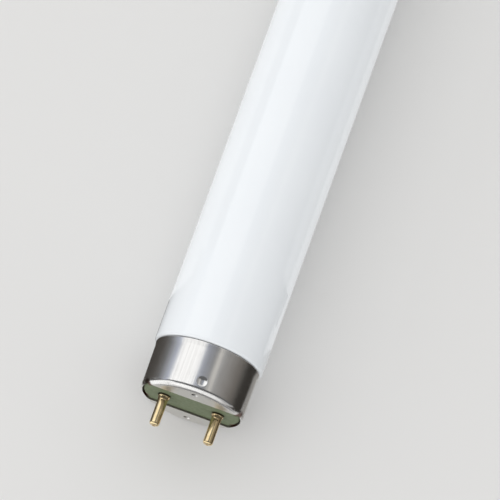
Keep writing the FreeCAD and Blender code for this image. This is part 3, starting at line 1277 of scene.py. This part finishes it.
@dataclass
class ContactPin:
    """The hollow brass pin: a riveted end, a swept collar, a straight shaft and a domed tip with its hole."""

    radius: float = 1.175 * MM
    bore: float = 0.75 * MM
    rivet_radius: float = 1.65 * MM
    collar_radius: float = 1.5 * MM
    collar_thickness: float = 0.35 * MM
    sweep_length: float = 1.2 * MM
    tip_radius: float = 0.65 * MM
    tip_wall: float = 0.9 * MM
    tip_bore: float = 0.33 * MM
    edge: float = 0.05 * MM
    sharp_angle: float = 40.0
    steps: int = 96
    sweep_steps: int = 10
    shaft_steps: int = 6
    tip_steps: int = 9
    back: float = field(init=False)
    tip: float = field(init=False)
    side: float = field(init=False)
    plate_front: float = field(init=False)
    plate_back: float = field(init=False)

    def __post_init__(self) -> None:
        """Reads the pin's reach and place from the frame."""
        low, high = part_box("right_pin_rear")
        self.back, self.tip = low.x, high.x
        self.side = (low.y + high.y) / 2.0
        plate_low, plate_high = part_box("right_plate")
        self.plate_back, self.plate_front = plate_low.x, plate_high.x

    def section(self) -> Outline:
        """The pin's half section, once round from the end of its bore.

        Returns:
            The section's points in order.
        """
        collar_front = self.plate_front + self.collar_thickness
        sweep_end = collar_front + self.sweep_length
        rise = self.collar_radius - self.radius
        sweep = (self.sweep_length**2 + rise**2) / (2.0 * rise)
        turn = math.degrees(math.asin(self.sweep_length / sweep))
        tip_start = self.tip - self.tip_radius
        bore_end = self.tip - self.tip_wall
        return [
            *line((self.back, self.bore), (self.back, self.rivet_radius)),
            *line((self.plate_back, self.rivet_radius), (self.plate_back, self.radius)),
            *line((self.plate_front, self.radius), (self.plate_front, self.collar_radius)),
            *arc((sweep_end, self.radius + sweep), sweep, 270.0 - turn, 270.0, self.sweep_steps),
            *line((sweep_end, self.radius), (tip_start, self.radius), self.shaft_steps)[1:-1],
            *arc((tip_start, self.radius - self.tip_radius), self.tip_radius, 90.0, 0.0, self.tip_steps),
            *line((self.tip, self.tip_bore), (bore_end, self.tip_bore)),
            *line((bore_end, self.bore), (self.back, self.bore)),
        ]

    def build(self) -> Piece:
        """Makes the right rear pin.

        Returns:
            The pin as one piece, in its place.
        """
        pin = lathe("right_rear_contact", self.section(), self.steps)
        ease_edges(pin, self.sharp_angle, self.edge)
        take_up(pin)
        bpy.ops.transform.translate(value=(0.0, self.side, 0.0))
        settle(pin)
        smooth(pin)
        return pin

    def fit(self) -> None:
        """Builds and dresses the right rear pin, and copies it to the other three places."""
        right_rear = self.build()
        Brass().dress(right_rear)
        right_front = copied_across(right_rear, "right_front_contact", -2.0 * self.side)
        pins = {
            "right_pin_rear": right_rear,
            "right_pin_front": right_front,
            "left_pin_rear": copied_to_left_end(right_rear, "left_rear_contact"),
            "left_pin_front": copied_to_left_end(right_front, "left_front_contact"),
        }
        for node, pin in pins.items():
            hand_over(pin, node)


@dataclass
class HiddenParts:
    """The cement rings and lead-in wires, which keep their CAD shapes."""

    ends: tuple[str, ...] = ("right", "left")

    def fit(self) -> None:
        """Dresses the rings and wires."""
        for end in self.ends:
            dressing = {f"{end}_cement": Cement(), f"{end}_wire_rear": Wire(), f"{end}_wire_front": Wire()}
            for node, finish in dressing.items():
                finish.dress(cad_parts[node])
                LOG.info("%s keeps its CAD shape", node)


# Stage

PLAIN: Colour = (1.0, 1.0, 1.0)
WARM: Colour = (1.0, 0.97, 0.92)
COOL: Colour = (0.74, 0.81, 1.0)
BROWN: Colour = (1.0, 0.90, 0.80)


class Reach(Enum):
    """What the light of a panel reaches."""

    ALL = "all"
    SURFACES = "surfaces"
    REFLECTIONS = "reflections"


@dataclass
class SoftPanel:
    """A flat glowing panel between two parallel edges, whose glow and tint may change across it."""

    name: str
    first_edge: Place
    second_edge: Place
    run: Place
    length: float
    glow: tuple[float, float]
    tint: tuple[Colour, Colour] = (PLAIN, PLAIN)
    reach: Reach = Reach.REFLECTIONS

    def material(self) -> bpy.types.Material:
        """The panel's glow, blended from its first edge to its second.

        Returns:
            The glowing material.
        """
        made = bare_material(self.name)
        bench = ShaderBench(made.node_tree)
        across = bench.place("ShaderNodeTexCoord").outputs["Generated"]
        share = bench.place("ShaderNodeSeparateXYZ", {0: across}).outputs["Y"]
        strength = bench.remap(share, 0.0, 1.0, *self.glow)
        tint = bench.blend(share, *self.tint)
        glow = bench.place("ShaderNodeEmission", {"Color": tint, "Strength": strength})
        bench.place("ShaderNodeOutputMaterial", {"Surface": glow.outputs[0]})
        return made

    def build(self) -> None:
        """Sets up the panel, out of the camera's sight."""
        first, second, along = Vector(self.first_edge), Vector(self.second_edge), Vector(self.run)
        middle, across = (first + second) / 2.0, second - first
        turn = Matrix((along, across.normalized(), along.cross(across).normalized())).transposed()
        panel = add_new(
            self.name, bpy.ops.mesh.primitive_plane_add, size=1.0, location=middle, rotation=turn.to_euler())
        panel.scale = (self.length, across.length, 1.0)
        panel.data.materials.append(self.material())
        panel.visible_camera = False
        panel.visible_diffuse = self.reach is not Reach.REFLECTIONS
        panel.visible_glossy = self.reach is not Reach.SURFACES
        panel.visible_shadow = False
        LOG.info("%s set up", self.name)


@dataclass
class Studio:
    """The pale floor, the soft panels round the lamp and a dim even surround."""

    floor_size: float = 60.0
    distance: float = 2.5
    tent_length: float = 6.0
    overhang: float = 0.05
    front_lean: float = 0.75
    end_panel_width: float = 4.75
    wing_distance: float = 3.175
    wing_height: float = 2.0
    card_lift: float = 0.2 * MM
    surround: Colour = (0.97, 0.985, 1.0)
    surround_glow: float = 0.12
    floor_height: float = field(init=False)
    end: float = field(init=False)

    def __post_init__(self) -> None:
        """Reads the lamp's underside and its right end from the frame."""
        self.floor_height = -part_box("glass_tube")[1].y
        self.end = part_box("right_cap")[1].x

    def overhead(
        self, name: str, start: float, end: float, glow: tuple[float, float],
        tint: tuple[Colour, Colour] = (PLAIN, PLAIN), reach: Reach = Reach.REFLECTIONS,
    ) -> SoftPanel:
        """A long panel over the lamp. One that shows in reflections ends just past the right cap.

        Args:
            name: The panel's name.
            start: The angle of its first edge, in degrees from straight up towards the rear.
            end: The angle of its second edge.
            glow: Its glow at the two edges.
            tint: Its tint at the two edges.
            reach: What its light reaches.

        Returns:
            The panel.
        """
        past_cap = self.end + self.overhang - self.tent_length / 2.0
        along = past_cap if reach is Reach.REFLECTIONS else 0.0
        first, second = [
            Vector((along, self.distance * math.sin(turn), self.distance * math.cos(turn)))
            for turn in (math.radians(start), math.radians(end))
        ]
        return SoftPanel(name, first, second, LAMP_AXIS, self.tent_length, glow, tint, reach)

    def wing(self, name: str, start: float, end: float, glow: float) -> SoftPanel:
        """A standing panel beside the front one, which only shows in reflections.

        Args:
            name: The panel's name.
            start: The angle of its inner edge, in degrees from straight ahead towards the rear.
            end: The angle of its outer edge.
            glow: Its glow.

        Returns:
            The panel.
        """
        inner, outer = [
            Vector((
                self.end + self.wing_distance * math.cos(turn),
                self.wing_distance * math.sin(turn),
                self.wing_height / 2.0,
            ))
            for turn in (math.radians(start), math.radians(end))
        ]
        return SoftPanel(name, inner, outer, UPWARDS, self.wing_height, (glow, glow))

    def front_panel(self) -> SoftPanel:
        """The panel in front of the right end, which leans towards it.

        Returns:
            The panel.
        """
        low = Vector((self.end + self.distance, 0.0, 0.0))
        rise = Vector((-self.front_lean, 0.0, self.distance))
        middle, half = low + rise / 2.0, Vector(ACROSS) * self.end_panel_width / 2.0
        return SoftPanel("front_panel", middle - half, middle + half, rise.normalized(), rise.length,
                         (1.35, 0.9), reach=Reach.ALL)

    def back_panel(self) -> SoftPanel:
        """The upright panel behind the left end.

        Returns:
            The panel.
        """
        low = Vector((-self.end - self.distance, 0.0, 0.0))
        high = low + Vector(UPWARDS) * self.distance
        return SoftPanel("back_panel", low, high, ACROSS, self.end_panel_width, (0.8, 0.8), reach=Reach.ALL)

    def cards(self) -> list[SoftPanel]:
        """The small cards that lie or stand on the floor and only show in the metal and the gloss.

        Returns:
            The cards, ready to be built.
        """
        low = self.floor_height + self.card_lift
        left, right, corner = (0.954, -0.299, 0.0), (0.954, 0.299, 0.0), (0.97, -0.243, 0.0)
        return [
            SoftPanel("left_floor_card", (0.2894, -0.0164, low), (0.2554, -0.1254, low), left, 0.039,
                      (0.06, 0.18), (BROWN, PLAIN)),
            SoftPanel("left_standing_card", (0.2785, -0.1335, low), (0.2785, -0.1335, 0.062), left, 0.104,
                      (0.10, 0.72), (PLAIN, COOL)),
            SoftPanel("left_front_card", (0.340, -0.0277, low), (0.3337, -0.0529, low), corner, 0.065,
                      (1.2, 1.2)),
            SoftPanel("left_front_standing", (0.340, -0.0559, low), (0.340, -0.0559, 0.010), corner, 0.065,
                      (1.2, 1.2)),
            SoftPanel("left_corner_standing", (0.3005, -0.046, low), (0.3005, -0.046, 0.012), corner, 0.016,
                      (0.12, 0.12)),
            SoftPanel("front_floor_card", (0.457, -0.0195, low), (0.457, 0.041, low), LAMP_AXIS, 0.286,
                      (0.25, 0.3)),
            SoftPanel("right_near_card", (0.284, 0.0185, low), (0.284, 0.031, low), LAMP_AXIS, 0.024,
                      (0.34, 0.30), (WARM, WARM)),
            SoftPanel("right_floor_card", (0.3367, 0.0489, low), (0.2637, 0.278, low), right, 0.164,
                      (0.036, 0.046), (BROWN, BROWN)),
            SoftPanel("right_standing_card", (0.2617, 0.28, low), (0.2617, 0.28, 0.028), right, 0.18,
                      (0.05, 0.13), (BROWN, WARM)),
            SoftPanel("right_floor_glow", (-0.014, 0.015, low), (-0.014, 0.038, low), LAMP_AXIS, 0.572,
                      (0.7, 1.2)),
        ]

    def panels(self) -> list[SoftPanel]:
        """The panels that light the lamp and show in its metal.

        Returns:
            The panels, ready to be built.
        """
        return [
            self.overhead("left_tent", -88.0, -25.0, (1.28, 1.05), reach=Reach.SURFACES),
            self.overhead("top_tent", -25.0, 25.0, (0.93, 0.93), reach=Reach.SURFACES),
            self.overhead("right_tent", 25.0, 88.0, (0.68, 0.76), reach=Reach.SURFACES),
            self.front_panel(),
            self.wing("front_left_wing", -48.5, -70.0, 1.25),
            self.wing("front_right_wing", 48.5, 66.0, 0.55),
            self.back_panel(),
            self.overhead("key_panel", -67.0, -11.0, (1.22, 1.22)),
            self.overhead("rear_start", -11.0, 18.0, (0.49, 0.25), (COOL, PLAIN)),
            self.overhead("rear_strip", 18.0, 28.0, (0.71, 0.71), (WARM, WARM)),
            self.overhead("rear_fall", 28.0, 88.0, (0.40, 0.115), (PLAIN, BROWN)),
            *self.cards(),
        ]

    def build(self) -> None:
        """Lays the floor, sets up the panels and gives the surround its glow."""
        place = (0.0, 0.0, self.floor_height)
        floor = add_new("floor", bpy.ops.mesh.primitive_plane_add, size=self.floor_size, location=place)
        PaleFloor().dress(floor)
        for panel in self.panels():
            panel.build()
        world = bpy.data.worlds.new("surround")
        bpy.context.scene.world = world
        world.use_nodes = True
        backdrop = world.node_tree.nodes["Background"]
        backdrop.inputs["Color"].default_value = (*self.surround, 1.0)
        backdrop.inputs["Strength"].default_value = self.surround_glow
        bpy.context.scene.view_settings.view_transform = "Standard"


@dataclass
class PhotoCamera:
    """A long lens that looks down on the right end at the photograph's angle."""

    picture_size: float = 500.0
    pixels_per_metre: float = 4469.0
    face_across: float = 190.62
    face_down: float = 406.67
    roll: float = 19.955
    lean: float = 17.4
    distance: float = 4.0
    sensor: float = 36.0

    def build(self) -> None:
        """Sets up the camera, with the middle of the right cap's face at its place in the picture."""
        lean, roll = math.radians(self.lean), math.radians(self.roll)
        towards = Vector((math.sin(lean), 0.0, math.cos(lean)))
        down_the_lamp = Vector((math.cos(lean), 0.0, -math.sin(lean)))
        across_the_lamp = Vector(ACROSS)
        right = math.cos(roll) * across_the_lamp - math.sin(roll) * down_the_lamp
        up = -math.sin(roll) * across_the_lamp - math.cos(roll) * down_the_lamp
        face = Vector((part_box("right_cap")[1].x, 0.0, 0.0))
        middle = self.picture_size / 2.0
        aim = (
            face
            + right * (middle - self.face_across) / self.pixels_per_metre
            + up * (self.face_down - middle) / self.pixels_per_metre
        )
        camera = add_new("photo_camera", bpy.ops.object.camera_add)
        turn = Matrix((right, up, towards)).transposed().to_4x4()
        camera.matrix_world = Matrix.Translation(aim + towards * self.distance) @ turn
        camera.data.sensor_width = self.sensor
        camera.data.lens = self.sensor * self.distance * self.pixels_per_metre / self.picture_size
        bpy.context.scene.camera = camera


def main() -> None:
    """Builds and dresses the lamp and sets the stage."""
    logging.basicConfig(level=logging.INFO, format="%(message)s")
    for assembly in (GlassTube(), EndCap(), EndPlate(), ContactPin(), HiddenParts()):
        assembly.fit()
    Studio().build()
    PhotoCamera().build()


if __name__ == "__main__":
    main()
